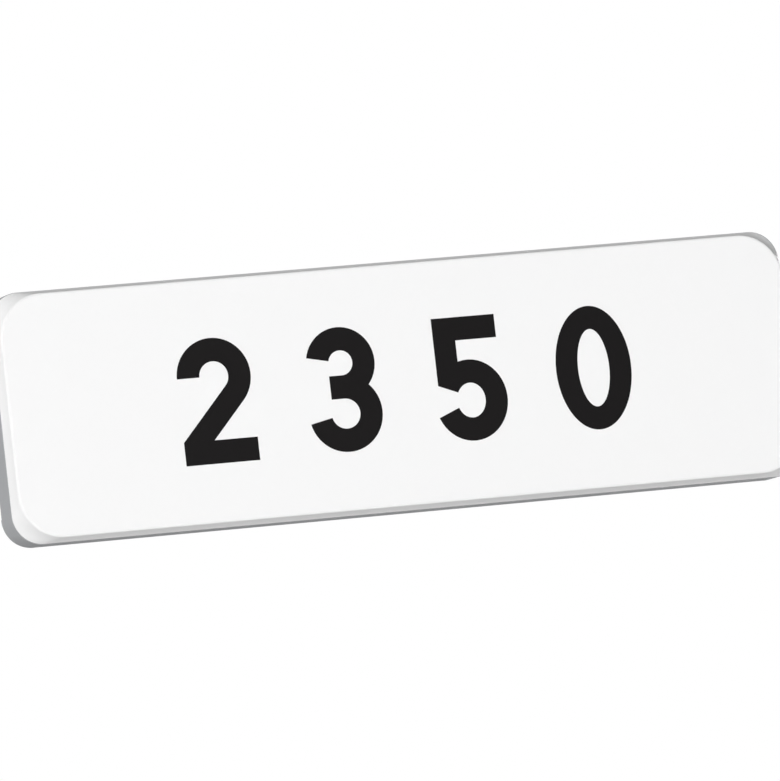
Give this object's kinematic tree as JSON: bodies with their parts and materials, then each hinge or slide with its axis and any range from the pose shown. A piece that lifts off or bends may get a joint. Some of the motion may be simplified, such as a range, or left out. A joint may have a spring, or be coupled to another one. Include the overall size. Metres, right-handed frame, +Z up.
{
  "type": "supplementary traffic sign",
  "caption": "Flat rectangular supplementary road sign with a white face, a sloping shoulder, a grey edge frame and a slotted rail across its open back.",
  "frame": {"origin": "middle of the crown of the rear mounting rail, on its rear face, where a clamp bears", "axes": "+X along the width, to the right for someone who reads the sign; +Z up; the face looks along -Y, and +Y points back to the post"},
  "size_m": [0.5, 0.0439, 0.15],
  "materials": {
    "white_film": "white reflective film, smooth",
    "white_lacquer": "white stoved lacquer on sheet steel",
    "grey_lacquer": "grey stoved lacquer on strip steel",
    "galvanised_steel": "hot-dip galvanised, with faint spangle",
    "rivet_steel": "bright zinc plate"
  },
  "bodies": {
    "root": {"face_film": "white_film", "face_tray": "white_lacquer", "edge_frame": "grey_lacquer", "frame_splice": "galvanised_steel", "splice_rivets": "rivet_steel", "mounting_rail": "galvanised_steel", "rail_rivets": "rivet_steel"}
  },
  "joints": []
}
